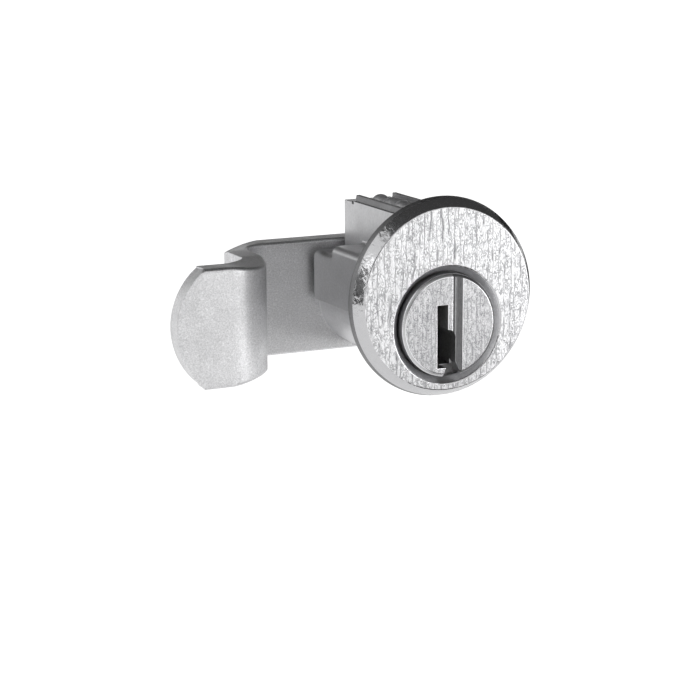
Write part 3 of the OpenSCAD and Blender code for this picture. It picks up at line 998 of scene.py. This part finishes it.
def stud_thread(detail, root_r, material):
    """The ridge of the stud's thread: a wedge screwed along the stud and cut by its flats."""
    foot_r = root_r - THREAD_SUNK
    wide = THREAD_FOOT * detail.thread_pitch
    long = STUD_END_Y - NUT_FRONT_Y + 2 * detail.thread_pitch
    bpy.ops.object.select_all(action="DESELECT")
    bpy.ops.mesh.primitive_plane_add(size=1)
    ridge = bpy.context.object
    ridge.name = "stud_thread"
    ridge.data.materials.append(material)
    bpy.ops.object.mode_set(mode="EDIT")
    bpy.ops.mesh.select_all(action="SELECT")
    bpy.ops.transform.resize(value=(detail.stud_r - foot_r, wide, 1), center_override=(0, 0, 0))
    pick(ridge, edges=lambda edge: all(vertex.co.x > 0 for vertex in edge.verts))
    bpy.ops.transform.resize(value=(1, THREAD_CREST, 1), center_override=(0, 0, 0))
    bpy.ops.mesh.select_all(action="SELECT")
    start = NUT_FRONT_Y - detail.thread_pitch
    bpy.ops.transform.translate(value=((detail.stud_r + foot_r) / 2, start, 0))
    bpy.ops.object.mode_set(mode="OBJECT")
    screw = ridge.modifiers.new("Thread", "SCREW")
    screw.axis = "Y"
    screw.screw_offset = detail.thread_pitch
    screw.iterations = math.ceil(long / detail.thread_pitch)
    screw.steps = THREAD_STEPS
    screw.render_steps = THREAD_STEPS
    bpy.ops.object.modifier_apply(modifier=screw.name)
    bpy.ops.object.mode_set(mode="EDIT")
    flat = detail.stud_flat - SEAM_TOUCH
    ends = (
        ((0, 0, flat), (0, 0, 1)),
        ((0, 0, -flat), (0, 0, -1)),
        ((0, NUT_FRONT_Y, 0), (0, -1, 0)),
        ((0, STUD_END_Y - SEAM_TOUCH, 0), (0, 1, 0)),
    )
    for place, outwards in ends:
        bpy.ops.mesh.select_all(action="SELECT")
        bpy.ops.mesh.bisect(
            plane_co=place, plane_no=outwards, clear_outer=True, use_fill=True, threshold=CUT_TOUCH,
        )
    bpy.ops.mesh.select_all(action="SELECT")
    bpy.ops.mesh.normals_make_consistent(inside=False)
    bpy.ops.object.mode_set(mode="OBJECT")
    return ridge


class LOCK_OT_plug(bpy.types.Operator):
    """Finishes the plug: finely brushed face, dull keyway and threaded stud"""

    bl_idname = "lock.plug"
    bl_label = "Plug"

    def execute(self, context):
        finish = context.scene.lock_finish
        detail = context.scene.lock_detail
        barrel = plated_metal(
            "plug barrel", finish.casting, roughness=0.35, depth=0.006 * MM, contrast=0.1, coarseness=1.6,
        )
        face = brushed_metal(
            "brushed plug face",
            scaled_colour(finish.face_light, 0.84), scaled_colour(finish.face_dark, 1.2),
            finish.plug_spacing, finish.plug_curl, shares=(0.5, 0.55, 0.45), depth=0.02 * MM,
        )
        rim = lumpy_metal(
            "plug rim", scaled_colour(finish.zinc, 1.6),
            roughness=0.22, lump_size=0.3 * MM, depth=0.006 * MM,
        )
        keyway = plated_metal("keyway", finish.grease_and_floor_shade, roughness=0.5, depth=0.004 * MM, contrast=0.2)
        # The groove gets a much darker copy of the brushed face: painted shade in the groove
        groove = brushed_metal(
            "plug groove", scaled_colour(finish.zinc, 0.34), scaled_colour(finish.face_dark, 0.5),
            finish.plug_curl, finish.plug_curl, shares=(0.5, 0.2, 0.2), depth=0.008 * MM,
        )
        plug = skin_of("plug", "plug_skin", [barrel, face, rim, keyway, groove])

        def at_face(edge):
            return middle(edge).y < PLUG_FACE_Y + detail.groove_depth + SEAM_TOUCH

        def inside(point, normal):
            within = PLUG_FACE_Y + SEAM_TOUCH < point.y < PLUG_REAR_Y - SEAM_TOUCH
            return within and radius(point) < detail.plug_r - RIM_MARGIN

        def in_groove(point, normal):
            shallow = PLUG_FACE_Y + SEAM_TOUCH < point.y < PLUG_FACE_Y + detail.groove_depth
            return shallow and point.x > detail.groove_near and radius(point) < PLUG_FACE_R - RIM_MARGIN

        def on_face(point, normal):
            return faces_front(normal) and point.y < PLUG_FACE_Y + SEAM_TOUCH

        soften(plug, detail.plug_edge, at_face, rim)
        paint(plug, keyway, inside)
        paint(plug, groove, in_groove)
        paint(plug, face, on_face)
        root_r = detail.stud_r - detail.thread_depth
        turn_down_stud(plug, root_r, detail.stud_r)
        smooth(plug)
        seat(plug, "plug", "plug")
        thread = stud_thread(detail, root_r, barrel)
        smooth(thread)
        seat(thread, "plug")
        return {"FINISHED"}


class LOCK_OT_pins(bpy.types.Operator):
    """Finishes the key pins and driver pins"""

    bl_idname = "lock.pins"
    bl_label = "Pins"

    def execute(self, context):
        finish = context.scene.lock_finish
        brass = plated_metal("pin brass", finish.brass, roughness=0.3, depth=0.003 * MM)
        for number in PIN_NUMBERS:
            for kind in ("key_pin", "driver_pin"):
                node = f"{kind}_{number}"
                pin = skin_of(node, f"{node}_skin", [brass])
                smooth(pin)
                seat(pin, node, node)
        return {"FINISHED"}


class LOCK_OT_springs(bpy.types.Operator):
    """Finishes the spring cover and the pin springs"""

    bl_idname = "lock.springs"
    bl_label = "Springs"

    def execute(self, context):
        finish = context.scene.lock_finish
        cover_steel = plated_metal("cover steel", finish.casting, roughness=0.6, depth=0.004 * MM)
        wire_steel = plated_metal("spring wire", finish.steel, roughness=0.28, depth=0.002 * MM)
        cover = skin_of("spring_cover", "spring_cover_skin", [cover_steel])
        smooth(cover)
        seat(cover, "body", "spring_cover")
        for number in PIN_NUMBERS:
            node = f"pin_spring_{number}"
            spring = skin_of(node, f"{node}_skin", [wire_steel])
            smooth(spring)
            seat(spring, "body", node)
            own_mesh(spring)
        return {"FINISHED"}


def neck_bend(piece, centre, start, detail):
    """Draws in the outside of a quarter bend at the strip's edges and lets its inside swell."""
    only(piece)
    bpy.ops.object.mode_set(mode="EDIT")
    for step in range(BEND_CUTS + 1):
        angle = start + math.radians(90 * step / BEND_CUTS)
        bpy.ops.mesh.select_all(action="SELECT")
        across = (-math.sin(angle), math.cos(angle), 0)
        bpy.ops.mesh.bisect(plane_co=centre, plane_no=across, threshold=BEND_TOUCH)
    bpy.ops.object.mode_set(mode="OBJECT")
    for vertex in piece.data.vertices:
        arm = vertex.co - centre
        turn = (math.atan2(arm.y, arm.x) - start) / (math.pi / 2)
        depth = (math.hypot(arm.x, arm.y) - detail.cam_bend) / detail.cam_t
        if 0 < turn < 1 and -BEND_SLACK < depth < 1 + BEND_SLACK:
            swell = math.sin(math.pi * turn ** BEND_LEAN) * (BEND_SWELL - (1 + BEND_SWELL) * depth)
            vertex.co.z += detail.cam_neck * swell * math.copysign(1, vertex.co.z)


class LOCK_OT_cam(bpy.types.Operator):
    """Finishes the hook cam and the stop washer"""

    bl_idname = "lock.cam"
    bl_label = "Hook cam"

    def execute(self, context):
        finish = context.scene.lock_finish
        detail = context.scene.lock_detail
        strip = plated_metal(
            "plated strip", finish.strip, roughness=0.46, depth=0.014 * MM, contrast=0.26,
        )
        sheared = plated_metal(
            "sheared edge", scaled_colour(finish.strip, 0.85),
            roughness=0.5, depth=0.012 * MM, contrast=0.2,
        )
        cam = skin_of("hook_cam", "hook_cam_skin", [strip, sheared])
        outer_bend = detail.cam_bend + detail.cam_t
        front_bend = Vector((-detail.cam_reach - detail.cam_bend, CAM_LOW.y + outer_bend, 0))
        rear_bend = Vector((outer_bend - detail.cam_reach, CAM_HIGH.y - outer_bend, 0))
        neck_bend(cam, front_bend, math.radians(-90), detail)
        neck_bend(cam, rear_bend, math.radians(90), detail)

        def outer(edge):
            return radius(middle(edge)) > detail.stud_r + STUD_MARGIN

        def on_front(edge):
            to_front = max(face.normal.x - face.normal.y for face in edge.link_faces)
            to_side = max(abs(face.normal.z) for face in edge.link_faces)
            return outer(edge) and to_front > 0.5 and to_side > 0.8

        def on_side(point, normal):
            return abs(normal.z) > 0.9

        soften(cam, detail.cam_roll, on_front, steps=5, shortest=0.3)
        soften(cam, detail.cam_edge, outer, shortest=1.2)
        paint(cam, sheared, on_side)
        smooth(cam)
        seat(cam, "plug", "hook_cam")
        washer = skin_of("stop_washer", "stop_washer_skin", [strip])
        soften(washer, detail.washer_edge, outer)
        smooth(washer)
        seat(washer, "plug", "stop_washer")
        return {"FINISHED"}


class LOCK_OT_fasteners(bpy.types.Operator):
    """Finishes the lock washer and the nut"""

    bl_idname = "lock.fasteners"
    bl_label = "Nut and washer"

    def execute(self, context):
        finish = context.scene.lock_finish
        plated = plated_metal("plated fastener", finish.strip, roughness=0.3, depth=0.005 * MM)
        for node in ("lock_washer", "cam_nut"):
            piece = skin_of(node, f"{node}_skin", [plated])
            smooth(piece, FASTENER_CREASE)
            seat(piece, "plug", node)
        return {"FINISHED"}


OPERATORS = (
    LOCK_OT_camera,
    LOCK_OT_studio,
    LOCK_OT_body,
    LOCK_OT_plug,
    LOCK_OT_pins,
    LOCK_OT_springs,
    LOCK_OT_cam,
    LOCK_OT_fasteners,
)


class LOCK_PT_panel(bpy.types.Panel):
    """Lists the steps that build the lock's looks"""

    bl_label = "Mailbox lock"
    bl_idname = "LOCK_PT_panel"
    bl_space_type = "VIEW_3D"
    bl_region_type = "UI"
    bl_category = "Mailbox lock"

    def draw(self, context):
        for step in OPERATORS:
            self.layout.operator(step.bl_idname)
        for name, group in SETTINGS:
            box = self.layout.box()
            box.label(text=group.__doc__)
            for setting in group.__annotations__:
                box.prop(getattr(context.scene, name), setting)


def register():
    """Adds the settings, the steps and the panel."""
    for _, group in SETTINGS:
        bpy.utils.register_class(group)
    for step in (*OPERATORS, LOCK_PT_panel):
        bpy.utils.register_class(step)
    for name, group in SETTINGS:
        setattr(bpy.types.Scene, name, bpy.props.PointerProperty(type=group))


def unregister():
    """Takes the settings, the steps and the panel away."""
    for name, _ in SETTINGS:
        delattr(bpy.types.Scene, name)
    for step in reversed((*OPERATORS, LOCK_PT_panel)):
        bpy.utils.unregister_class(step)
    for _, group in reversed(SETTINGS):
        bpy.utils.unregister_class(group)


def main():
    """Runs the steps in order."""
    register()
    bpy.ops.lock.camera()
    bpy.ops.lock.studio()
    bpy.ops.lock.body()
    bpy.ops.lock.plug()
    bpy.ops.lock.pins()
    bpy.ops.lock.springs()
    bpy.ops.lock.cam()
    bpy.ops.lock.fasteners()


if __name__ == "__main__":
    main()
